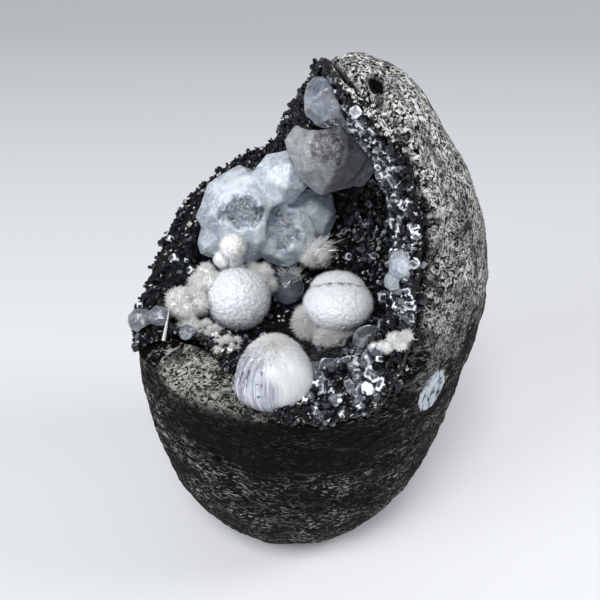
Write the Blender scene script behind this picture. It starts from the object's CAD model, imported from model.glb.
"""Thomsonite with analcime on basalt: the visible model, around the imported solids."""

import math

import bpy
import numpy as np
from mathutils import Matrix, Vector


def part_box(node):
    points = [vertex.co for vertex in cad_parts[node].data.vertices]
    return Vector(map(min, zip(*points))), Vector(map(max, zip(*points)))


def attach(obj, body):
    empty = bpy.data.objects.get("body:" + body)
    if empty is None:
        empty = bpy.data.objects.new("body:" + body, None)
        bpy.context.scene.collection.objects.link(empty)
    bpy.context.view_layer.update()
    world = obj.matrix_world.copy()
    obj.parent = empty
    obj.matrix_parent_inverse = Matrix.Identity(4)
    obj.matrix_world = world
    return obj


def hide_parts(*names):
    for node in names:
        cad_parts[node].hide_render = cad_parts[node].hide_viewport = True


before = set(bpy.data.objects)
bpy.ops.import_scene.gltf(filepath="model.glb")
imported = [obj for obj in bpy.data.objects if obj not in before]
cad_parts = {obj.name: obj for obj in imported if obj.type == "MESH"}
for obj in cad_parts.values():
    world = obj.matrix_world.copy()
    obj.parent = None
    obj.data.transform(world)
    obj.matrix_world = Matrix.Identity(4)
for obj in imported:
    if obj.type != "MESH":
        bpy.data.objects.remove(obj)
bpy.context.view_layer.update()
MM = 0.001


# --- The stone ---------------------------------------------------------------------------------
# A broken nodule of fine-grained basalt that stands loose on its lower end. Its skin is weathered
# nearly black low down and at the front. The peak, the right-hand side and the broken facet at the
# front left show fresh grain.

STONE_GRAIN = 0.44
STONE_LUMPS = (2.6, 0.45)
STONE_PITS = (0.9, 0.30)
WEATHER_RISE = 24
WEATHER_SLANT = 60
WEATHER_LINE = 3.73


def pick(piece):
    """Selects one piece and nothing else."""
    bpy.ops.object.select_all(action="DESELECT")
    piece.select_set(True)
    bpy.context.view_layer.objects.active = piece


def work_copy(node, name):
    """A copy of a CAD node's solid, with its loose triangles joined, to work into a visible piece."""
    piece = bpy.data.objects.new(name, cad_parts[node].data.copy())
    bpy.context.collection.objects.link(piece)
    piece.data.materials.clear()
    pick(piece)
    bpy.ops.object.mode_set(mode="EDIT")
    bpy.ops.mesh.select_all(action="SELECT")
    bpy.ops.mesh.remove_doubles(threshold=0.002 * MM)
    bpy.ops.object.mode_set(mode="OBJECT")
    bpy.ops.mesh.customdata_custom_splitnormals_clear()
    return piece


def finish_with(piece, kind, **settings):
    """Adds a modifier to a piece and applies it."""
    pick(piece)
    modifier = piece.modifiers.new(kind, kind)
    for setting, value in settings.items():
        setattr(modifier, setting, value)
    bpy.ops.object.modifier_apply(modifier=modifier.name)


def relief(piece, pattern, size, depth, level=1.0, **settings):
    """Carves a piece with a pattern of a size and depth in millimetres."""
    texture = bpy.data.textures.new(pattern, pattern)
    texture.noise_scale = size * MM
    for setting, value in settings.items():
        setattr(texture, setting, value)
    finish_with(
        piece, "DISPLACE", texture=texture, texture_coords="LOCAL", strength=depth * MM, mid_level=level
    )


def new_material(name):
    """A new material, its node tree and its surface shader."""
    material = bpy.data.materials.new(name)
    material.use_nodes = True
    return material, material.node_tree, material.node_tree.nodes["Principled BSDF"]


def set_inputs(tree, node, inputs):
    """Links or sets inputs of a shader node."""
    for socket, value in inputs.items():
        if isinstance(value, bpy.types.NodeSocket):
            tree.links.new(value, node.inputs[socket])
        else:
            node.inputs[socket].default_value = value


def add(tree, kind, inputs=None, **settings):
    """Adds a shader node, with its settings and inputs."""
    node = tree.nodes.new("ShaderNode" + kind)
    for setting, value in settings.items():
        setattr(node, setting, value)
    set_inputs(tree, node, inputs or {})
    return node


def place(tree):
    """The place of a surface point, in metres."""
    return add(tree, "TexCoord").outputs["Object"]


def noise(tree, size, detail=4.0, distortion=0.0, roughness=0.55, vector=None):
    """A noise pattern with features of about a size in millimetres."""
    inputs = {
        "Vector": vector or place(tree),
        "Scale": 1 / (size * MM),
        "Detail": detail,
        "Roughness": roughness,
        "Distortion": distortion,
    }
    return add(tree, "TexNoise", inputs).outputs["Fac"]


def ramp(tree, factor, *stops):
    """Turns a factor into a colour by stops of (place, colour)."""
    node = add(tree, "ValToRGB", {"Fac": factor})
    elements = node.color_ramp.elements
    while len(elements) < len(stops):
        elements.new(0.5)
    for element, (where, colour) in zip(elements, stops):
        element.position = where
        element.color = (*colour, 1) if isinstance(colour, tuple) else (colour, colour, colour, 1)
    return node.outputs["Color"]


def mix(tree, factor, first, second, blend="MIX"):
    """Mixes two colours."""
    node = add(tree, "Mix", data_type="RGBA", blend_type=blend)
    for socket, value in zip((0, 6, 7), (factor, first, second)):
        if isinstance(value, bpy.types.NodeSocket):
            tree.links.new(value, node.inputs[socket])
        else:
            node.inputs[socket].default_value = (*value, 1) if isinstance(value, tuple) else value
    return node.outputs[2]


def calculate(tree, operation, first, second=0.0, third=0.0, clamp=False):
    """A sum on one or two values."""
    node = add(tree, "Math", {0: first, 1: second, 2: third}, operation=operation, use_clamp=clamp)
    return node.outputs[0]


def near(tree, middle, radii):
    """One at a place in millimetres, and falling to zero at the surface of an ellipsoid round it."""
    scale = [1 / (radius * MM) for radius in radii]
    shift = [-centre * MM * factor for centre, factor in zip(middle, scale)]
    inputs = {"Vector": place(tree), "Location": shift, "Scale": scale}
    mapping = add(tree, "Mapping", inputs).outputs[0]
    return add(tree, "TexGradient", {"Vector": mapping}, gradient_type="SPHERICAL").outputs["Fac"]


def bumped(tree, height, strength, depth):
    """The normals of a surface with a pattern of bumps of a depth in millimetres."""
    inputs = {"Height": height, "Strength": strength, "Distance": depth * MM}
    return add(tree, "Bump", inputs).outputs[0]


def basalt_material():
    """Salt-and-pepper basalt: pale curled flecks in a dark ground, nearly black where weathered.

    The weathering ends at a slanted line, higher at the left. It also fades at the broken facet,
    and one patch at the right has shreds of a blue-grey zeolite.
    """
    material, tree, surface = new_material("basalt")
    broad = noise(tree, 7.0, detail=3)
    curl = noise(tree, 2.3, detail=4, distortion=2.4, roughness=0.65)
    off = calculate(tree, "ABSOLUTE", calculate(tree, "SUBTRACT", curl, 0.5))
    hairs = ramp(tree, off, (0.008, 1.0), (0.026, 0.0))
    flecks = noise(tree, 1.0, detail=4, distortion=2.2, roughness=0.6)
    specks = ramp(tree, flecks, (0.515, 0.0), (0.545, 1.0))
    salt = mix(tree, 1.0, hairs, specks, "SCREEN")
    shade = noise(tree, 2.6, detail=5, roughness=0.65)
    salt = mix(tree, 1.0, salt, ramp(tree, shade, (0.38, 0.25), (0.50, 1.0)), "MULTIPLY")
    fresh = mix(tree, salt, (0.008, 0.008, 0.008), (0.74, 0.74, 0.71))

    stretched = add(tree, "Mapping", {"Vector": place(tree), "Scale": (0.7, 0.7, 1.7)}).outputs[0]
    lines = noise(tree, 1.35, detail=4, distortion=2.4, roughness=0.6, vector=stretched)
    streaks = ramp(tree, lines, (0.55, 0.0), (0.60, 0.7), (0.63, 1.0))
    worn = mix(tree, streaks, (0.001, 0.001, 0.001), (0.34, 0.33, 0.30))
    patches = ramp(tree, noise(tree, 6.0, detail=4), (0.38, 0.15), (0.60, 1.0))
    worn = mix(tree, 1.0, worn, patches, "MULTIPLY")

    parts = add(tree, "SeparateXYZ", {0: place(tree)})
    slant = calculate(tree, "MULTIPLY", parts.outputs["X"], 1 / (WEATHER_SLANT * MM))
    level = calculate(tree, "MULTIPLY_ADD", parts.outputs["Z"], 1 / (WEATHER_RISE * MM), slant)
    for pattern, weight in ((broad, 2.0), (shade, 0.8)):
        level = calculate(tree, "MULTIPLY_ADD", pattern, weight, level)
    exposed = ramp(tree, calculate(tree, "SUBTRACT", level, WEATHER_LINE), (0.0, 0.0), (1.0, 1.0))
    facet = ramp(tree, near(tree, FACET_AT, FACET_RADII), (0.02, 0.0), (0.30, 0.68))
    above = calculate(tree, "SUBTRACT", parts.outputs["Z"], FACET_FOOT * MM)
    ledge = calculate(tree, "DIVIDE", above, FACET_FADE * MM, clamp=True)
    facet = mix(tree, 1.0, facet, ledge, "MULTIPLY")
    exposed = mix(tree, 1.0, exposed, facet, "LIGHTEN")
    colour = mix(tree, exposed, worn, fresh)
    stain = ramp(tree, near(tree, *RIM_STAIN), (0.0, 1.0), (0.45, 0.10))
    colour = mix(tree, 1.0, colour, stain, "MULTIPLY")
    hole = add(tree, "Attribute", attribute_name="hole").outputs["Fac"]
    colour = mix(tree, 1.0, colour, ramp(tree, hole, (0.05, 1.0), (0.45, 0.01)), "MULTIPLY")
    warm = mix(tree, facet, (1.0, 1.0, 1.0), (0.80, 0.78, 0.70))
    colour = mix(tree, 1.0, colour, warm, "MULTIPLY")

    zeolite = near(tree, PATCH_AT, PATCH_RADII)
    inputs = {"Vector": place(tree), "Rotation": (0, 0.4, 0), "Scale": (1.6, 1.6, 0.5)}
    slanted = add(tree, "Mapping", inputs).outputs[0]
    shreds = noise(tree, 1.2, detail=6, distortion=0.6, roughness=0.7, vector=slanted)
    shown = calculate(tree, "MULTIPLY", ramp(tree, zeolite, (0.0, 0.0), (0.45, 1.0)), shreds)
    shown = ramp(tree, shown, (0.42, 0.0), (0.50, 1.0))
    set_inputs(tree, surface, {
        "Base Color": mix(tree, shown, colour, (0.56, 0.61, 0.68)),
        "Specular IOR Level": 0.10,
        "Roughness": 0.85,
        "Normal": bumped(tree, mix(tree, exposed, lines, flecks), 0.9, 0.5),
    })
    return material


def places(piece):
    """The corners of a piece, in millimetres."""
    corners = np.empty(3 * len(piece.data.vertices))
    piece.data.vertices.foreach_get("co", corners)
    return corners.reshape(-1, 3) / MM


def outward(piece):
    """The normals at the corners of a piece."""
    normals = np.empty(3 * len(piece.data.vertices))
    piece.data.vertex_normals.foreach_get("vector", normals)
    return normals.reshape(-1, 3)


def move(piece, corners):
    """Puts the corners of a piece at places in millimetres."""
    piece.data.vertices.foreach_set("co", (corners * MM).ravel())
    piece.data.update()


def set_value(piece, name, values):
    """Stores a value at each corner of a piece for its material."""
    attributes = piece.data.attributes
    attribute = attributes.get(name) or attributes.new(name, "FLOAT", "POINT")
    attribute.data.foreach_set("value", np.asarray(values, dtype=np.float32))


def smoothstep(values, low, high):
    """Runs smoothly from zero at the low value to one at the high value."""
    share = np.clip((values - low) / (high - low), 0, 1)
    return share * share * (3 - 2 * share)


FACET_AT = (-8.0, -18.0, 47.0)
FACET_RADII = (15.0, 10.0, 7.0)
FACET_FOOT = 42.6
FACET_FADE = 2.0
RIM_STAIN = ((-4.0, -23.0, 38.5), (26.0, 14.0, 9.0))
SHOULDER_SWELL = 1.2
CREST_LIFT = 1.5
PATCH_AT = (16.6, -17.6, 43.6)
PATCH_RADII = (3.6, 4.2, 6.4)
PEAK_VESICLE = ((8.6, -4.3, 79.8), 1.45, 2.2)
PEAK_VESICLE_WAY = np.array((0.0, -0.75, 0.66))
VESICLES = (
    ((18.5, -11.0, 56.0), 0.6, 0.5),
    ((21.8, -6.0, 44.0), 0.8, 0.6),
    ((-12.0, -21.5, 33.0), 0.7, 0.5),
    ((5.0, -24.0, 24.0), 0.6, 0.5),
    ((12.0, 14.0, 66.0), 0.9, 0.8),
    ((-14.0, 16.0, 52.0), 0.8, 0.7),
    ((2.0, 21.0, 40.0), 0.7, 0.6),
)

stone = work_copy("basalt_matrix", "basalt_stone")
finish_with(stone, "REMESH", mode="VOXEL", voxel_size=STONE_GRAIN * MM, use_smooth_shade=True)
finish_with(stone, "SMOOTH", factor=0.5, iterations=7)
relief(stone, "CLOUDS", *STONE_LUMPS, noise_depth=2)
relief(stone, "CLOUDS", *STONE_PITS, noise_depth=1)
corners = places(stone)
normals = outward(stone)
right = smoothstep(corners[:, 0], 1, 8) * smoothstep(normals[:, 0], -0.1, 0.6)
corners[:, 0] += SHOULDER_SWELL * right * smoothstep(corners[:, 2], 30, 58)
crest = smoothstep(corners[:, 0], 2, 7) * (1 - smoothstep(corners[:, 0], 13, 20))
crest *= smoothstep(corners[:, 2], 71, 77) * smoothstep(normals[:, 0] + normals[:, 2], 0.0, 0.7)
corners[:, 2] += CREST_LIFT * crest
hole = np.zeros(len(corners))
for centre, radius, depth in (PEAK_VESICLE, *VESICLES):
    nearest = np.linalg.norm(corners - centre, axis=1).argmin()
    way = PEAK_VESICLE_WAY if centre == PEAK_VESICLE[0] else normals[nearest]
    bowl = 1 - (np.linalg.norm(corners - corners[nearest], axis=1) / radius) ** 2
    bowl = np.clip(bowl, 0, 1)
    corners = corners - way * (np.sqrt(bowl) * depth)[:, None]
    hole = np.maximum(hole, bowl)
move(stone, corners)
set_value(stone, "hole", hole)
stone.data.materials.append(basalt_material())
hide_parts("basalt_matrix")
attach(stone, "root")


# --- The druse ---------------------------------------------------------------------------------
# A crust of small glassy crystals, grown on the stone, that lines the hollow and laps over its broken
# edge. Nearly black, it glints down the right-hand edge, and is clear at the front right.

HOLLOW = np.array((0.0, 1.2, 55.0))
CRUST_GRAIN = 0.46
CRUST_LUMPS = (0.9, 0.5)
PEAK_SLOPE = 0.875
PEAK_LEVEL = 83.4
ANALCIME_IOR = 1.487


def rocky(points):
    """Whether places are above the slanted line at the peak, where the crust is bare basalt."""
    return points[..., 2] + PEAK_SLOPE * points[..., 0] > PEAK_LEVEL


def unit(vectors):
    """Vectors brought to a length of one."""
    return vectors / np.linalg.norm(vectors, axis=1)[:, None]


def triangles(node):
    """The corners of a CAD node's triangles in millimetres, their areas and their normals."""
    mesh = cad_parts[node].data
    mesh.calc_loop_triangles()
    points = np.array([vert.co for vert in mesh.vertices]) / MM
    corners = points[np.array([triangle.vertices for triangle in mesh.loop_triangles])]
    cross = np.cross(corners[:, 1] - corners[:, 0], corners[:, 2] - corners[:, 0])
    double = np.linalg.norm(cross, axis=1)
    return corners, double / 2, cross / np.maximum(double, 1e-9)[:, None]


def scatter(corners, areas, normals, count, dice):
    """Evenly random points on triangles, with the normal at each."""
    chosen = dice.choice(len(areas), size=count, p=areas / areas.sum())
    first, second = dice.random(count), dice.random(count)
    over = first + second > 1
    first[over], second[over] = 1 - first[over], 1 - second[over]
    face = corners[chosen]
    points = face[:, 0] + first[:, None] * (face[:, 1] - face[:, 0])
    points += second[:, None] * (face[:, 2] - face[:, 0])
    return points, normals[chosen]


def turns(count, dice):
    """Random rotations, as matrices."""
    w, x, y, z = unit(dice.normal(size=(count, 4))).T
    rows = [
        [1 - 2 * (y * y + z * z), 2 * (x * y - z * w), 2 * (x * z + y * w)],
        [2 * (x * y + z * w), 1 - 2 * (x * x + z * z), 2 * (y * z - x * w)],
        [2 * (x * z - y * w), 2 * (y * z + x * w), 1 - 2 * (x * x + y * y)],
    ]
    return np.array(rows).transpose(2, 0, 1)


def crystal_shape(bevel):
    """One small crystal, a cube with its edges cut broad, as corners, faces and which are edges.

    The cut edges are told apart because they are frosted on clear crystals.
    """
    bpy.ops.mesh.primitive_cube_add(size=1.5)
    cube = bpy.context.object
    finish_with(cube, "BEVEL", width=bevel, segments=1, affect="EDGES", limit_method="NONE")
    corners = np.array([vert.co for vert in cube.data.vertices])
    faces = [tuple(face.vertices) for face in cube.data.polygons]
    cut = [int(max(abs(part) for part in face.normal) < 0.95) for face in cube.data.polygons]
    bpy.data.objects.remove(cube)
    return corners, faces, cut


def mesh_piece(name, points, faces, material):
    """A piece from points in millimetres and faces."""
    mesh = bpy.data.meshes.new(name)
    mesh.from_pydata((points * MM).tolist(), [], faces)
    mesh.materials.append(material)
    piece = bpy.data.objects.new(name, mesh)
    bpy.context.collection.objects.link(piece)
    return piece


def crystals(name, shape, points, sizes, stretch, materials, dice):
    """Many copies of one crystal shape, each at its own point, size and turn, as one piece.

    Each is stretched by chance along its axes. Of two materials the second is on the cut edges.
    """
    corners, faces, cut = shape
    count = len(points)
    shapes = corners[None] * (1 + stretch * (dice.random((count, 1, 3)) - 0.5))
    turned = np.einsum("nij,nkj->nki", turns(count, dice), shapes)
    placed = turned * (sizes / 2)[:, None, None] + points[:, None]
    each = len(corners)
    all_faces = [
        tuple(corner + each * index for corner in face) for index in range(count) for face in faces
    ]
    piece = mesh_piece(name, placed.reshape(-1, 3), all_faces, materials[0])
    if len(materials) > 1:
        piece.data.materials.append(materials[1])
        piece.data.polygons.foreach_set("material_index", cut * count)
    set_value(piece, "shine", np.repeat(dice.random(count), each))
    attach(piece, "root")
    return piece


def dark_druse_material():
    """Black glassy crystal, with one crystal in ten paler and blue-grey."""
    material, tree, surface = new_material("dark_druse")
    shine = add(tree, "Attribute", attribute_name="shine").outputs["Fac"]
    black, grey, pale = (0.003, 0.003, 0.004), (0.030, 0.034, 0.044), (0.30, 0.33, 0.38)
    nearly_black = (0.006, 0.007, 0.009)
    colour = ramp(tree, shine, (0.0, black), (0.90, nearly_black), (0.97, grey), (1.0, pale))
    set_inputs(tree, surface, {
        "Base Color": colour,
        "Roughness": 0.16,
        "Specular IOR Level": 0.42,
        "Normal": bumped(tree, noise(tree, 0.25, detail=2), 0.3, 0.08),
    })
    return material


def clear_druse_material():
    """Clear glassy crystal that shows the black crust through it."""
    material, tree, surface = new_material("clear_druse")
    patches = noise(tree, 1.0, detail=2)
    colour = ramp(tree, patches, (0.40, (0.35, 0.40, 0.48)), (0.62, (0.90, 0.93, 0.97)))
    set_inputs(tree, surface, {
        "Base Color": colour, "Roughness": 0.06, "Transmission Weight": 0.9, "IOR": ANALCIME_IOR,
    })
    return material


def frosted_druse_material():
    """The frosted edges of the clear crystals, white on some and faint on others."""
    material, tree, surface = new_material("frosted_druse")
    shine = add(tree, "Attribute", attribute_name="shine").outputs["Fac"]
    patches = noise(tree, 0.8, detail=3)
    white = calculate(tree, "ADD", shine, calculate(tree, "MULTIPLY_ADD", patches, 1.6, -0.8))
    colour = ramp(tree, white, (0.30, (0.10, 0.11, 0.14)), (0.85, (0.85, 0.88, 0.93)))
    set_inputs(tree, surface, {"Base Color": colour, "Roughness": 0.28})
    return material


dark_druse = dark_druse_material()
clear_druse = clear_druse_material()
frosted_druse = frosted_druse_material()

crust = work_copy("druse_lining", "druse_crust")
finish_with(crust, "REMESH", mode="VOXEL", voxel_size=CRUST_GRAIN * MM)
finish_with(crust, "SMOOTH", factor=0.5, iterations=4)
relief(crust, "CLOUDS", *CRUST_LUMPS, level=0.6, noise_depth=1)
basalt = stone.data.materials[0]
crust.data.materials.append(dark_druse)
crust.data.materials.append(basalt)
for face in crust.data.polygons:
    face.material_index = int(rocky(np.array(face.center) / MM))
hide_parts("druse_lining")
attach(crust, "root")

LINING_GRAINS = 7700
BRINK_GRAINS = 3900
BRINK_TOP = 79.0
GRAIN_PIECES = 3

dice = np.random.default_rng(7)
corners, areas, normals = triangles("druse_lining")
facing = np.einsum("ij,ij->i", normals, unit(HOLLOW - corners.mean(axis=1)))
front, brink = facing > 0.1, np.abs(facing) < 0.5
lining = (corners[front], areas[front], normals[front])
brinks = (corners[brink], areas[brink], normals[brink])

grain_shape = crystal_shape(0.22)
rimmed_shape = crystal_shape(0.44)

points, away = scatter(*lining, LINING_GRAINS, dice)
more, more_away = scatter(*brinks, BRINK_GRAINS, dice)
lower_at_left = np.where(more[:, :1] < 0, 0.4, 1.0)
more += more_away * dice.uniform(0.0, 0.6, (len(more), 1)) * lower_at_left
points = np.concatenate([points - away * 0.2, more[more[:, 2] < BRINK_TOP]])
peak = rocky(points)
sizes = dice.uniform(0.3, 0.9, peak.sum())
crumbs = crystals("basalt_peak_crumbs", grain_shape, points[peak], sizes, 0.9, [basalt], dice)
points = points[~peak]
sizes = 0.35 + 0.75 * dice.random(len(points)) ** 2
for number in range(GRAIN_PIECES):
    part = slice(number, None, GRAIN_PIECES)
    name = f"druse_grains_{number + 1}"
    grains = crystals(name, grain_shape, points[part], sizes[part], 1.0, [dark_druse], dice)

GROOVE = np.array([
    (-15.5, -7.6, 44.3), (-13.2, -8.6, 44.6), (-11.1, -11.8, 45.7), (-9.8, -14.2, 46.6),
    (-8.8, -17.0, 46.6),
])
GROOVE_GRAINS = 520


def along_line(line, count, spread, dice):
    """Random places along a line through points, each strayed from it by about a spread."""
    along = dice.uniform(0, len(line) - 1.001, count)
    step = along.astype(int)
    share = (along - step)[:, None]
    points = line[step] * (1 - share) + line[step + 1] * share
    return points + dice.normal(size=points.shape) * spread


points = along_line(GROOVE, GROOVE_GRAINS, (0.7, 0.7, 0.25), dice)
sizes = dice.uniform(0.35, 0.9, GROOVE_GRAINS)
fill = crystals("druse_groove_grains", grain_shape, points, sizes, 1.0, [dark_druse], dice)

bpy.ops.mesh.primitive_ico_sphere_add(subdivisions=2, radius=0.9)
bead = bpy.context.object
bead_shape = (
    np.array([vert.co for vert in bead.data.vertices]),
    [tuple(face.vertices) for face in bead.data.polygons],
    [0] * len(bead.data.polygons),
)
bpy.data.objects.remove(bead)

GLASSY_PLACES = 40000
CLEAR_SHARE = 0.20
BEAD_SHARE = 0.06
CLEAR_FRONT_AT = (7.0, -21.0, 47.0)
CLEAR_FRONT_RADII = (9.0, 5.0, 5.5)
RIM_LINE = np.array([
    (4.8, -3.8, 77.2), (7.5, -4.0, 75.0), (9.5, -6.0, 71.5), (10.9, -9.2, 67.2), (11.5, -15.0, 64.0),
    (11.0, -16.3, 60.6), (12.2, -17.8, 58.7), (11.9, -19.0, 55.1),
])


def shade_round(piece):
    """Shades a piece as one rounded surface."""
    pick(piece)
    bpy.ops.object.shade_smooth()


def off_line(points, line):
    """How far places are from a line through points."""
    gap = np.full(len(points), 99.0)
    for start, end in zip(line[:-1], line[1:]):
        way = end - start
        share = np.clip((points - start) @ way / (way @ way), 0, 1)
        gap = np.minimum(gap, np.linalg.norm(points - start - share[:, None] * way, axis=1))
    return gap


thin_rimmed_shape = crystal_shape(0.32)
points, away = scatter(*lining, GLASSY_PLACES, dice)
below = ~rocky(points + (0.3, 0.0, 0.3))
points, away = points[below], away[below]
reach = np.linalg.norm((points - CLEAR_FRONT_AT) / np.array(CLEAR_FRONT_RADII), axis=1)
chosen = (reach < 1) & (dice.random(len(points)) < CLEAR_SHARE)
sizes = dice.uniform(0.9, 1.9, chosen.sum())
clear = crystals(
    "clear_front_crystals", thin_rimmed_shape, points[chosen] + away[chosen] * 0.3, sizes, 0.8,
    [clear_druse, frosted_druse], dice,
)

chosen = (reach < 1) & (dice.random(len(points)) < BEAD_SHARE)
sizes = dice.uniform(1.1, 2.0, chosen.sum())
middles = points[chosen] + away[chosen] * 0.35
beads = crystals("clear_front_beads", bead_shape, middles, sizes, 0.3, [clear_druse], dice)
shade_round(beads)

blob_at = np.array([(8.0, -21.2, 47.3), (9.6, -19.6, 48.9), (4.4, -22.9, 46.9)])
blob_sizes = np.array([2.1, 0.9, 0.9])
blobs = crystals(
    "white_front_crystals", rimmed_shape, blob_at, blob_sizes, 0.5, [frosted_druse], dice
)
set_value(blobs, "shine", np.ones(len(blobs.data.vertices)))

gap = off_line(points, RIM_LINE)
lively = 0.65 + 0.5 * np.sin(points[:, 2] * 0.9) * np.sin(points[:, 1] * 0.7 + 1)
share = 0.34 * (1 - smoothstep(gap, 1.2, 4.0)) * lively
share += 0.02 * smoothstep(points[:, 0], 7, 11) * smoothstep(points[:, 1], -19, -8) * lively + 0.004
chosen = (reach > 1) & (dice.random(len(points)) < share)
sizes = dice.uniform(0.5, 1.3, chosen.sum())
glints = crystals(
    "glinting_band_crystals", thin_rimmed_shape, points[chosen] + away[chosen] * 0.25, sizes, 1.1,
    [clear_druse, frosted_druse], dice,
)


# --- The analcime ------------------------------------------------------------------------------
# Clear to milky crystals of the 24-faced form, grown together in groups and fast on the crust. Their
# edges are rounded and frosted white, and the largest faces are sunk windows with a pitted floor.

CRYSTAL_SKIN = 0.12


def waves(corners, size, seed):
    """A smooth random value from -1 to 1 at each place, with features of about a size."""
    dice = np.random.default_rng(seed)
    total = np.zeros(len(corners))
    for _ in range(14):
        direction = dice.normal(size=3)
        direction *= math.tau / size / np.linalg.norm(direction) * dice.uniform(0.6, 1.4)
        total += np.sin(corners @ direction + dice.uniform(0, math.tau))
    return total / 5


def crystal_material(name, clear, frosted, clearness, tint, density, milk, mottle=1.5, floor=0.3):
    """Clear crystal with milky veils, frosted white on its edges, and with pitted windows."""
    material, tree, surface = new_material(name)
    frost = add(tree, "Attribute", attribute_name="frost").outputs["Fac"]
    window = add(tree, "Attribute", attribute_name="window").outputs["Fac"]
    veil = noise(tree, 1.5, detail=6, distortion=1.0)
    fold = noise(tree, 3.0, detail=3, distortion=2.0)
    fold = calculate(tree, "ABSOLUTE", calculate(tree, "SUBTRACT", fold, 0.5))
    crack = ramp(tree, fold, (0.0, 0.22 * mottle), (0.03, 0.0))
    white = calculate(tree, "ADD", frost, calculate(tree, "MULTIPLY_ADD", veil, mottle, -0.5 * mottle))
    white = calculate(tree, "ADD", white, crack, clamp=True)
    colour = mix(tree, white, clear, frosted)
    pits = noise(tree, 0.60, detail=3, distortion=1.0, roughness=0.6)
    dark, middle = (tuple(share * part for part in clear) for share in (floor, 0.5 + 0.5 * floor))
    stops = ((0.38, dark), (0.44, middle), (0.54, clear), (0.58, frosted), (0.60, (1.0, 1.0, 1.0)))
    set_inputs(tree, surface, {
        "Base Color": mix(tree, window, colour, ramp(tree, pits, *stops)),
        "Transmission Weight": calculate(tree, "MULTIPLY_ADD", white, -0.7 * clearness, clearness),
        "Roughness": ramp(tree, white, (0.1, 0.08), (0.9, 0.32)),
        "IOR": ANALCIME_IOR,
        "Subsurface Weight": milk,
        "Subsurface Radius": (1.0, 1.0, 1.0),
        "Subsurface Scale": 1.6 * MM,
        "Normal": bumped(tree, mix(tree, window, noise(tree, 0.7, detail=4), pits), 0.7, 0.2),
    })
    inside = add(tree, "VolumeAbsorption", {"Color": (*tint, 1), "Density": density})
    tree.links.new(inside.outputs[0], tree.nodes["Material Output"].inputs["Volume"])
    return material


def crystal_body(node, name, material, grain=0.17, melt=30, sharpness=0.45, base=0.4, edges=0.5,
                 swell=0.0, windows=(), veils=(), rim_frost=0.15):
    """A crystal group from its solid, with melted edges.

    A window is a place, three radii and a depth in millimetres: the face is sunk there, with a
    frosted rim round it. A veil is a place, three radii and how much whiter it makes the crystal.
    """
    piece = work_copy(node, name)
    finish_with(piece, "REMESH", mode="VOXEL", voxel_size=grain * MM)
    finish_with(piece, "SMOOTH", factor=0.5, iterations=8)
    sharp = places(piece)
    finish_with(piece, "SMOOTH", factor=0.5, iterations=melt)
    soft = places(piece)
    normals = outward(piece)
    edge = np.clip(np.linalg.norm(soft - sharp, axis=1) / 0.25, 0, 1)
    frost = base + edges * edge
    corners = sharpness * sharp + (1 - sharpness) * soft
    lift = swell - CRYSTAL_SKIN + 0.06 * waves(corners, 3.5, 3) + 0.025 * waves(corners, 1.1, 4)
    window = np.zeros(len(corners))
    for centre, radii, gain in veils:
        reach = np.linalg.norm((sharp - centre) / np.array(radii), axis=1)
        reach += 0.12 * waves(corners, 2.0, 8)
        frost += gain * (1 - smoothstep(reach, 0.6, 1.1))
    for centre, radii, depth in windows:
        reach = np.linalg.norm((sharp - centre) / np.array(radii), axis=1)
        reach += 0.16 * waves(corners, 2.2, 5)
        inside = 1 - smoothstep(reach, 0.60, 1.05)
        rough = 0.10 * waves(corners, 0.8, 6) + 0.06 * waves(corners, 0.5, 7)
        rim = smoothstep(reach, 0.75, 1.0) * (1 - smoothstep(reach, 1.05, 1.4))
        lift += inside * (rough - depth * (1 - 0.6 * reach)) + 0.12 * rim
        frost = frost * (1 - inside) + rim_frost * rim
        window = np.maximum(window, inside)
    move(piece, corners + normals * lift[:, None])
    set_value(piece, "frost", np.clip(frost, 0, 1))
    set_value(piece, "window", window)
    shade_round(piece)
    piece.data.materials.append(material)
    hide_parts(node)
    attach(piece, "root")


icy = crystal_material(
    "icy_crystal", clear=(0.73, 0.81, 0.91), frosted=(0.81, 0.88, 0.97), clearness=0.80,
    tint=(0.88, 0.94, 1.0), density=12, milk=0.6, floor=0.22,
)
smoky = crystal_material(
    "smoky_crystal", clear=(0.56, 0.57, 0.60), frosted=(0.78, 0.79, 0.81), clearness=0.70,
    tint=(0.70, 0.72, 0.76), density=35, milk=0.35, floor=0.35,
)
watery = crystal_material(
    "watery_crystal", clear=(0.72, 0.79, 0.86), frosted=(0.90, 0.93, 0.97), clearness=0.97,
    tint=(0.75, 0.82, 0.92), density=40, milk=0.1, mottle=1.0,
)
dusky = crystal_material(
    "dusky_crystal", clear=(0.16, 0.18, 0.22), frosted=(0.42, 0.45, 0.50), clearness=0.45,
    tint=(0.55, 0.60, 0.70), density=90, milk=0.1,
)
glassy_dome = crystal_material(
    "glassy_dome_crystal", clear=(0.62, 0.68, 0.74), frosted=(0.80, 0.85, 0.90), clearness=0.97,
    tint=(0.75, 0.82, 0.92), density=60, milk=0.1, mottle=0.4,
)

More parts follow.
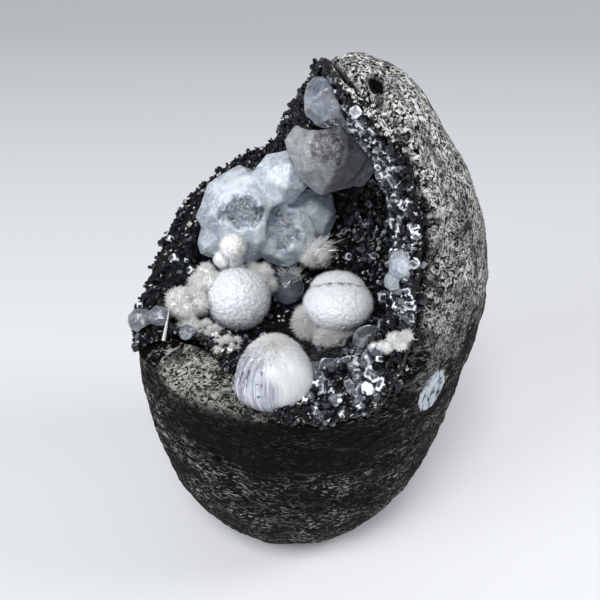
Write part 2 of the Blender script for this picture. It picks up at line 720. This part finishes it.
CLUSTER_WINDOWS = (
    ((-8.6, 6.8, 55.2), (4.6, 3.6, 2.6), 0.9),
    ((-3.0, 7.4, 52.0), (2.8, 3.8, 4.5), 0.9),
)
CLUSTER_VEILS = (
    ((-3.6, 10.0, 59.2), (4.2, 4.0, 3.4), 0.12),
    ((-12.0, 11.0, 58.0), (4.5, 5.0, 2.6), 0.35),
    ((-6.2, 6.0, 51.0), (1.6, 3.0, 3.0), 0.5),
    ((-14.5, 8.5, 52.0), (2.6, 3.0, 3.0), -0.25),
    ((1.4, 9.6, 55.4), (2.2, 4.0, 4.8), 0.35),
)
UPPER_WINDOWS = (((3.4, 8.8, 64.8), (2.6, 3.0, 3.2), 0.25),)
TOP_WINDOWS = (((3.3, -3.8, 73.8), (1.7, 2.2, 1.9), 0.3),)
TOP_VEILS = (((1.6, -4.0, 77.0), (3.0, 3.0, 1.4), 0.35),)

crystal_body("analcime_cluster", "analcime_cluster_crystals", icy, windows=CLUSTER_WINDOWS,
             veils=CLUSTER_VEILS, melt=40, sharpness=0.65, base=0.46, edges=0.40)
crystal_body("analcime_upper", "analcime_upper_crystal", smoky, windows=UPPER_WINDOWS, melt=60,
             sharpness=0.35, base=0.22, edges=0.3, swell=0.4, rim_frost=0.0)
crystal_body("analcime_top", "analcime_top_crystal", dusky, windows=TOP_WINDOWS,
             veils=TOP_VEILS, melt=50, base=0.1, edges=0.4, swell=0.45)
crystal_body("analcime_middle", "analcime_middle_crystal", glassy_dome, grain=0.13, melt=90,
             sharpness=0.0, base=0.05, edges=0.1, swell=0.7)
crystal_body("analcime_left", "analcime_left_crystals", dusky, grain=0.13, melt=30,
             sharpness=0.7, base=0.10)
crystal_body("analcime_lilac", "analcime_lilac_crystal", watery, grain=0.1, melt=30, base=0.2)
crystal_body("analcime_rim", "analcime_rim_crystals", watery, grain=0.13, melt=14,
             sharpness=0.7, base=0.25)
crystal_body("analcime_right", "analcime_right_crystal", glassy_dome, grain=0.1, melt=90,
             sharpness=0.0, base=0.0, edges=0.1, swell=0.7)


# --- The thomsonite ----------------------------------------------------------------------------
# Balls of white needles, grown fast on the crust, that radiate from the middle of each ball. A ball
# is a silky knobbed core with short needles on it, and a ragged tuft is a heap of small balls.

NEEDLE_ROOT = 0.15
KNOB_RADIUS = 0.33
KNOB_DENSITY = 4.5
TUFT_DENSITY = 22
TUFT_UNRULY = 0.45
TUFT_KNOBS = 0.14
FINER_FROM = (1.3, 2.12, 4.5)


def needle_material(name, tip_colour, root_colour):
    """Silky white needles, whiter at their tips."""
    material, tree, surface = new_material(name)
    tip = add(tree, "Attribute", attribute_name="tip").outputs["Fac"]
    patches = noise(tree, 1.6, detail=3)
    share = calculate(tree, "MULTIPLY_ADD", patches, 0.5, -0.25)
    share = calculate(tree, "ADD", tip, share, clamp=True)
    set_inputs(tree, surface, {
        "Base Color": mix(tree, share, root_colour, tip_colour),
        "Roughness": 0.4,
        "Subsurface Weight": 1.0,
        "Subsurface Radius": (1.0, 1.0, 1.0),
        "Subsurface Scale": 0.35 * MM,
        "Normal": bumped(tree, noise(tree, 0.35, detail=3), 0.5, 0.12),
    })
    return material


def needles(name, roots, tips, widths, material, dice):
    """Long three-sided spikes from roots to tips, as one piece."""
    axis = unit(tips - roots)
    across = unit(np.cross(axis, dice.normal(size=axis.shape)))
    other = np.cross(axis, across)
    points = np.empty((len(roots), 4, 3))
    for corner in range(3):
        turn = corner * math.tau / 3
        side = across * math.cos(turn) + other * math.sin(turn)
        points[:, corner] = roots + side * widths[:, None] / 2
    points[:, 3] = tips
    faces = []
    for start in range(0, 4 * len(roots), 4):
        a, b, c, tip = start, start + 1, start + 2, start + 3
        faces += [(a, b, tip), (b, c, tip), (c, a, tip), (c, b, a)]
    piece = mesh_piece(name, points.reshape(-1, 3), faces, material)
    set_value(piece, "tip", np.tile([0.0, 0.0, 0.0, 1.0], len(roots)))
    return piece


def on_ball(count, centre, radii, dice):
    """Even random points on an egg shape, with the direction straight out of it at each."""
    ball = unit(dice.normal(size=(count, 3)))
    return centre + ball * np.array(radii), unit(ball / np.array(radii))


def knobbed(points, knobs, height):
    """How high the little knobs stand at each place."""
    gap = np.full(len(points), 9.0)
    for knob_at in knobs:
        gap = np.minimum(gap, np.linalg.norm(points - knob_at, axis=1))
    return height * (1 - np.clip(gap / KNOB_RADIUS, 0, 1) ** 2)


def needle_balls(node, name, balls, material, seed):
    """Balls of needles in place of a solid: silky knobbed cores, and needles standing on them.

    A ball is a place, three radii, needles per square millimetre, needle width, how unruly the
    needles are, how far they stand out, and the height of the knobs.
    """
    dice = np.random.default_rng(seed)
    shapes = {}
    core_points, core_faces, core_count = [], [], 0
    fur = []
    for number, (centre, radii, density, width, unruly, length, knob) in enumerate(balls):
        centre = np.array(centre)
        body = np.array(radii) - 0.8 * length - knob
        area = 4 * math.pi * (sum(radii) / 3) ** 2
        knobs, _ = on_ball(int(KNOB_DENSITY * area), centre, body, dice)
        points, straight = on_ball(int(density * area), centre, body, dice)
        free = np.ones(len(points), dtype=bool)
        for other, ball in enumerate(balls):
            if other != number:
                inner = np.maximum(np.array(ball[1]) - 0.8 * ball[5] - ball[6], 0.2)
                free &= np.linalg.norm((points - ball[0]) / inner, axis=1) > 1
        points, straight = points[free], straight[free]
        points = points + straight * knobbed(points, knobs, knob)[:, None]
        out = unit(straight + dice.normal(size=points.shape) * unruly)
        tips = points + out * (length * dice.uniform(0.3, 1.15, len(points)))[:, None]
        fur.append((points - out * NEEDLE_ROOT, tips, width * dice.uniform(0.7, 1.3, len(points))))
        rounds = 4 + sum(max(radii) > size for size in FINER_FROM)
        if rounds not in shapes:
            bpy.ops.mesh.primitive_ico_sphere_add(subdivisions=rounds, radius=MM)
            sphere = bpy.context.object
            faces = [tuple(face.vertices) for face in sphere.data.polygons]
            shapes[rounds] = (places(sphere), faces)
            bpy.data.objects.remove(sphere)
        ball, faces = shapes[rounds]
        skin = ball * body + centre
        core_points.append(skin + ball * knobbed(skin, knobs, knob)[:, None])
        core_faces += [tuple(corner + core_count for corner in face) for face in faces]
        core_count += len(ball)
    core = mesh_piece(f"{name}_core", np.concatenate(core_points), core_faces, material)
    shade_round(core)
    set_value(core, "tip", np.full(core_count, 0.4))
    parts = [np.concatenate(column) for column in zip(*fur)]
    for piece in (core, needles(f"{name}_needles", *parts, material, dice)):
        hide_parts(node)
        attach(piece, "root")


def clump(centre, radii, count, sizes, width, length, seed):
    """Small shaggy balls over a larger ball, to make a ragged tuft.

    The width and the length are those of the needles.
    """
    dice = np.random.default_rng(seed)
    middles, _ = on_ball(count, np.array(centre), np.array(radii), dice)
    return [
        (tuple(middle), (radius,) * 3, TUFT_DENSITY, width, TUFT_UNRULY, length, TUFT_KNOBS)
        for middle, radius in zip(middles, dice.uniform(*sizes, count))
    ]


snow = needle_material("snow_white_needles", (0.98, 0.98, 0.98), (0.92, 0.92, 0.91))
satin = needle_material("satin_white_needles", (0.80, 0.82, 0.86), (0.74, 0.76, 0.79))
EGG = (((-9.7, 0.0, 44.5), (5.1, 5.0, 4.9), 16, 0.09, 0.25, 0.42, 0.13),)
LEFT_BALLS = (
    ((-10.2, 3.0, 51.9), (2.15, 2.1, 2.15), 50, 0.11, 0.15, 0.30, 0.14),
    ((-12.0, 3.4, 49.3), (1.5, 1.4, 1.5), 50, 0.10, 0.20, 0.30, 0.12),
    ((-10.2, 3.6, 49.2), (1.5, 1.4, 1.8), 50, 0.10, 0.25, 0.35, 0.12),
)
LEFT_TUFTS = (
    ((-14.2, 1.8, 45.9), (1.7, 1.7, 1.8), 12, (1.3, 1.9), 0.13, 0.75, 41),
    ((-6.6, 3.0, 45.4), (1.6, 1.6, 1.9), 12, (1.2, 1.7), 0.13, 0.85, 42),
    ((-9.6, 3.8, 46.8), (2.2, 1.4, 1.5), 10, (1.1, 1.6), 0.13, 0.85, 43),
    ((-17.0, -2.8, 45.3), (1.8, 1.6, 1.4), 14, (1.5, 2.1), 0.14, 0.75, 44),
)
RIGHT_BALLS = (
    ((5.1, -1.0, 44.4), (5.4, 4.9, 3.6), 16, 0.08, 0.25, 0.32, 0.09),
    ((5.1, 0.8, 45.6), (4.4, 3.9, 2.5), 16, 0.09, 0.30, 0.36, 0.09),
)
RIGHT_NECK = (
    ((4.6, -1.3, 41.4), (4.2, 3.9, 4.0), 50, 0.12, 0.25, 0.40, 0.10),
    ((1.0, -2.4, 42.0), (2.9, 2.6, 3.2), 50, 0.20, 0.35, 1.30, 0.10),
    ((3.5, -4.7, 41.0), (2.4, 2.0, 2.4), 50, 0.20, 0.35, 1.20, 0.10),
)
WISP_BALLS = (
    ((8.8, -17.4, 50.8), (0.9, 0.8, 0.9), 25, 0.12, 0.45, 0.40, 0.12),
    ((9.7, -18.2, 51.7), (1.0, 0.9, 1.0), 25, 0.12, 0.45, 0.45, 0.12),
    ((10.3, -19.3, 52.5), (1.2, 1.0, 1.1), 25, 0.13, 0.45, 0.50, 0.12),
    ((11.0, -19.2, 53.9), (1.3, 1.0, 1.2), 25, 0.14, 0.45, 0.60, 0.12),
    ((11.6, -20.4, 54.0), (1.2, 1.0, 1.2), 25, 0.14, 0.50, 0.60, 0.12),
    ((12.2, -20.2, 55.2), (1.2, 1.0, 1.1), 25, 0.15, 0.60, 0.80, 0.12),
)
needle_balls("thomsonite_left", "thomsonite_left_egg", EGG, satin, 21)
needle_balls("thomsonite_left", "thomsonite_left_balls", LEFT_BALLS, snow, 28)
for number, tuft in enumerate(LEFT_TUFTS, 1):
    needle_balls("thomsonite_left", f"thomsonite_left_tuft_{number}", clump(*tuft), snow, 50 + number)
needle_balls("thomsonite_right", "thomsonite_right", RIGHT_BALLS, satin, 22)
needle_balls("thomsonite_right", "thomsonite_right_neck", RIGHT_NECK, snow, 30)
needle_balls("thomsonite_wisp", "thomsonite_wisp", WISP_BALLS, snow, 24)


# --- The fan -----------------------------------------------------------------------------------
# A small spray of coarse thomsonite blades behind the balls, grown on the crust. It opens to the
# right and upwards from a shaggy root, and its blades end in points.

FAN_ROOT = np.array((0.9, 7.4, 46.6))
FAN_TOWARDS = np.array((0.75, 0.30, 0.45))
FAN_BLADES = 420
FAN_SPREAD = 0.45

dice = np.random.default_rng(23)
towards = FAN_TOWARDS / np.linalg.norm(FAN_TOWARDS)
out = unit(towards + dice.normal(size=(FAN_BLADES, 3)) * FAN_SPREAD)
lengths = dice.uniform(0.8, 2.7, FAN_BLADES)
starts = FAN_ROOT + (1.0, 0.5, 0.6) + dice.normal(size=(FAN_BLADES, 3)) * 0.8
tips = starts + out * lengths[:, None]
widths = dice.uniform(0.18, 0.5, FAN_BLADES)
blades = needles("thomsonite_fan_blades", starts, tips, widths, snow, dice)
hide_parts("thomsonite_fan")
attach(blades, "root")
fan_tuft = clump(FAN_ROOT + (1.1, 0.4, 0.6), (1.6, 1.2, 1.5), 16, (1.1, 1.6), 0.13, 0.85, 45)
needle_balls("thomsonite_fan", "thomsonite_fan_tuft", fan_tuft, snow, 25)


# --- The fluff ---------------------------------------------------------------------------------
# A patch of feathery thomsonite needles that creeps over the broken rim in front of the left-hand
# balls, grown on the stone. Each tuft is a burst of fine needles from a small puff.

FLUFF_PATH = np.array([
    (-16.6, -6.6, 44.8), (-13.6, -7.4, 44.6), (-11.4, -10.6, 45.8), (-9.8, -13.6, 46.9),
])
FLUFF_TUFTS = 60
FLUFF_NEEDLES = 13000

dice = np.random.default_rng(27)
tufts = along_line(FLUFF_PATH, FLUFF_TUFTS, (0.75, 0.75, 0.15), dice)
chosen = dice.integers(0, FLUFF_TUFTS, FLUFF_NEEDLES)
out = unit(dice.normal(size=(FLUFF_NEEDLES, 3)) + (0, 0, 0.5))
reach = dice.uniform(0.35, 1.0, FLUFF_NEEDLES) * (0.5 + 0.9 * dice.random(FLUFF_TUFTS))[chosen]
roots = tufts[chosen] + out * 0.05
tips = tufts[chosen] + out * reach[:, None]
widths = dice.uniform(0.12, 0.26, FLUFF_NEEDLES)
fluff = needles("thomsonite_left_fluff", roots, tips, widths, snow, dice)
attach(fluff, "root")
sizes = dice.uniform(0.4, 1.0, FLUFF_TUFTS)
puffs = crystals("thomsonite_left_puffs", bead_shape, tufts, sizes, 0.9, [snow], dice)
set_value(puffs, "tip", np.full(len(puffs.data.vertices), 0.5))
shade_round(puffs)


# --- The small sprays --------------------------------------------------------------------------
# Loose silky thomsonite needles that root on the grey middle crystal, and one stout needle that
# hangs over the dome at the left.

SPRAY_NEEDLES = 90
STOUT_ROOT = (-19.3, -9.8, 45.0)
STOUT_TIP = (-18.4, -6.4, 49.0)
STOUT_WIDTH = 0.7

dice = np.random.default_rng(26)
low, high = (np.array(corner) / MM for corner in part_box("analcime_middle"))
root = (low + high) / 2 + (0.2, 0.6, 0.9)
out = unit((0.0, 0.25, 0.75) + dice.normal(size=(SPRAY_NEEDLES, 3)) * (0.6, 0.25, 0.15))
starts = root + dice.normal(size=(SPRAY_NEEDLES, 3)) * (0.9, 0.4, 0.3)
lengths = dice.uniform(1.8, 3.4, SPRAY_NEEDLES)
tips = starts + out * lengths[:, None]
widths = dice.uniform(0.12, 0.25, SPRAY_NEEDLES)
spray = needles("thomsonite_left_spray", starts, tips, widths, snow, dice)
ends = (np.array([STOUT_ROOT]), np.array([STOUT_TIP]), np.array([STOUT_WIDTH]))
stout = needles("thomsonite_left_stout_needle", *ends, snow, dice)
for piece in (spray, stout):
    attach(piece, "root")


# --- The front ball ----------------------------------------------------------------------------
# A thomsonite ball grown fast on the rim, with fibres that lie flat and run from its top down over
# it like combed silk. Its left side is glassy and lilac-grey. Short needles stand round its top.

FRONT_AT = np.array((-3.7, -18.3, 47.0))
FRONT_RADII = np.array((5.0, 4.9, 4.8))
FRONT_POLE = Vector((-0.1, 0.93, 0.42))
FRONT_SEGMENTS = 320
FRONT_RINGS = 120
FRINGE_NEEDLES = 2600
BLADE_PLACES = 300
GLASSY_FROM = 0.80
SLANT = math.radians(39)
FRONT_FRAME = np.array(
    [[1, 0, 0], [0, math.sin(SLANT), math.cos(SLANT)], [0, -math.cos(SLANT), math.sin(SLANT)]]
)


def silk_material():
    """White silk that runs down the ball, over grey glass on its left side."""
    material, tree, surface = new_material("white_silk")
    along = add(tree, "UVMap", uv_map="UVMap").outputs[0]
    stretched = add(tree, "Mapping", {"Vector": along, "Scale": (70, 3, 1)}).outputs[0]
    inputs = {"Vector": stretched, "Scale": 1.0, "Detail": 5.0, "Distortion": 0.8}
    fibres = add(tree, "TexNoise", inputs).outputs["Fac"]
    side = add(tree, "Attribute", attribute_name="glassy").outputs["Fac"]
    side = calculate(tree, "ADD", side, calculate(tree, "MULTIPLY_ADD", fibres, 1.2, -0.6))
    glassy_side = ramp(tree, side, (0.15, 0.0), (0.85, 1.0))
    white = ramp(tree, fibres, (0.35, (0.52, 0.54, 0.56)), (0.58, (0.60, 0.61, 0.62)))
    greys = ((0.38, (0.20, 0.21, 0.26)), (0.50, (0.38, 0.40, 0.45)), (0.62, (0.54, 0.57, 0.63)))
    lilac = ramp(tree, fibres, *greys)
    set_inputs(tree, surface, {
        "Base Color": mix(tree, glassy_side, white, lilac),
        "Roughness": ramp(tree, glassy_side, (0.0, 0.38), (1.0, 0.15)),
        "Subsurface Weight": 0.3,
        "Subsurface Radius": (0.5, 0.5, 0.5),
        "Subsurface Scale": 1.0 * MM,
        "Normal": bumped(tree, fibres, 0.4, 0.15),
    })
    return material


def front_shape(ball):
    """Turns points of a unit ball, with its pole at +Z, into the front ball.

    The ball is narrow at its top and broad and blunt at its foot, and flares to the left.
    """
    turned = ball @ np.array(FRONT_POLE.to_track_quat("Z", "Y").to_matrix()).T
    a, b, c = turned.T
    low = np.clip(-b, 0, 1)
    wide = a * (1 - 0.16 * b + 0.10 * low * np.clip(-a, 0, 1) * 2)
    tall = b * (1 + 0.10 * low * (0.3 - a * 0.6))
    shaped = np.stack([wide, tall, c * (1 - 0.08 * b)], axis=1)
    return (shaped * FRONT_RADII) @ FRONT_FRAME + FRONT_AT


def glassiness(points):
    """How far a place is to the left of the front ball's parting."""
    local = (points - FRONT_AT) @ FRONT_FRAME.T
    leftward = -local[:, 0] - 0.45 * local[:, 1] + 1.3 * waves(local, 4.0, 35)
    return smoothstep(leftward, -1.0, 2.6)


silk = silk_material()
bpy.ops.mesh.primitive_uv_sphere_add(segments=FRONT_SEGMENTS, ring_count=FRONT_RINGS, radius=MM)
front_ball = bpy.context.object
front_ball.name = "thomsonite_front_silk"
shape = places(front_ball)
level = np.hypot(shape[:, 0], shape[:, 1])
ring = shape[:, :2] / np.maximum(level, 1e-6)[:, None]
around = np.column_stack([ring * 5, np.arccos(np.clip(shape[:, 2], -1, 1)) * 0.8])
left = 0.35 + 0.65 * glassiness(front_shape(shape))
fibre = waves(around * 5, 1.3, 31) * 0.003 + waves(around, 2.2, 32) * 0.009 * left
flake = np.floor(waves(around, 3.0, 33) * 3 + 0.5) * 0.004 * (left - 0.35)
shape *= (1 + (fibre + flake) * np.clip(level * 1.6, 0, 1))[:, None]
move(front_ball, front_shape(shape))
set_value(front_ball, "glassy", glassiness(places(front_ball)))
shade_round(front_ball)
front_ball.data.materials.append(silk)


def on_front_ball(azimuth, polar, lift):
    """Places over the front ball by the angle round its pole, the angle from it, and the height."""
    flat = np.sin(polar)
    ball = np.stack([np.cos(azimuth) * flat, np.sin(azimuth) * flat, np.cos(polar)], axis=1)
    return front_shape(ball * (1 + lift / 5.0)[:, None])


dice = np.random.default_rng(34)
azimuth = dice.uniform(0, math.tau, FRINGE_NEEDLES)
polar = np.abs(dice.normal(0, 0.40, FRINGE_NEEDLES))
roots = on_front_ball(azimuth, polar, np.full(FRINGE_NEEDLES, -0.2))
swing = dice.normal(0, 0.12, FRINGE_NEEDLES)
reach = dice.uniform(0.10, 0.34, FRINGE_NEEDLES)
tips = on_front_ball(azimuth + swing, polar + reach, dice.uniform(0.05, 0.50, FRINGE_NEEDLES))
widths = dice.uniform(0.12, 0.26, FRINGE_NEEDLES)
fringe = needles("thomsonite_front_fringe", roots, tips, widths, snow, dice)

azimuth = dice.uniform(0, math.tau, BLADE_PLACES)
polar = dice.uniform(0.15, 2.0, BLADE_PLACES)
roots = on_front_ball(azimuth, polar, np.full(BLADE_PLACES, -0.12))
swing = dice.normal(0, 0.05, BLADE_PLACES)
reach = dice.uniform(0.25, 0.75, BLADE_PLACES)
tips = on_front_ball(azimuth + swing, polar + reach, dice.uniform(-0.05, 0.16, BLADE_PLACES))
left = glassiness(roots) > GLASSY_FROM
widths = dice.uniform(0.3, 0.8, left.sum())
left_blades = needles("thomsonite_front_blades", roots[left], tips[left], widths, frosted_druse, dice)
set_value(left_blades, "shine", np.repeat(dice.random(left.sum()), 4))
for piece in (front_ball, fringe, left_blades):
    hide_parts("thomsonite_front")
    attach(piece, "root")


# --- The setting -------------------------------------------------------------------------------
# A pale seamless floor that darkens towards the back, a large soft light above and in front with a
# weaker one at each side, and a camera that looks down at the stone from the front.

CAMERA_AT = Vector((-0.5, -89.8, 117.0)) * MM
CAMERA_PITCH = math.radians(39)
SENSOR = 36
LENS = 1.3 * SENSOR

bpy.ops.mesh.primitive_plane_add(size=3)
floor = bpy.context.object
floor.name = "floor"
material, tree, surface = new_material("pale_floor")
far = add(tree, "SeparateXYZ", {0: place(tree)}).outputs["Y"]
far = calculate(tree, "MULTIPLY_ADD", far, 2.2, 0.25)
shade = ramp(tree, far, (0.25, (0.68, 0.69, 0.71)), (0.75, (0.42, 0.43, 0.45)))
set_inputs(tree, surface, {"Base Color": shade, "Roughness": 0.6})
floor.data.materials.append(material)


def soft_light(name, place_at, size, energy, colour):
    """A square soft light aimed at the stone."""
    lamp = bpy.data.lights.new(name, "AREA")
    lamp.size = size
    lamp.energy = energy
    lamp.color = colour
    light = bpy.data.objects.new(name, lamp)
    light.location = place_at
    aim = Vector((0, 0, 50 * MM)) - light.location
    light.rotation_euler = aim.to_track_quat("-Z", "Y").to_euler()
    bpy.context.collection.objects.link(light)


soft_light("key", Vector((-0.12, -0.50, 1.00)), 0.35, 9.0, (1.0, 0.99, 0.97))
soft_light("left_fill", Vector((-0.8, -0.5, 0.7)), 0.5, 4.5, (0.93, 0.96, 1.0))
soft_light("right_fill", Vector((0.9, 0.0, 0.8)), 0.4, 5.0, (1.0, 0.99, 0.98))

world = bpy.data.worlds.new("studio")
world.use_nodes = True
background = world.node_tree.nodes["Background"]
set_inputs(world.node_tree, background, {"Color": (0.9, 0.93, 1.0, 1), "Strength": 0.40})
bpy.context.scene.world = world
bpy.context.scene.view_settings.view_transform = "Standard"

lens = bpy.data.cameras.new("camera")
lens.sensor_width = SENSOR
lens.lens = LENS
lens.clip_start = 1 * MM
camera = bpy.data.objects.new("camera", lens)
camera.location = CAMERA_AT
camera.rotation_euler = (math.pi / 2 - CAMERA_PITCH, 0, 0)
bpy.context.collection.objects.link(camera)
bpy.context.scene.camera = camera
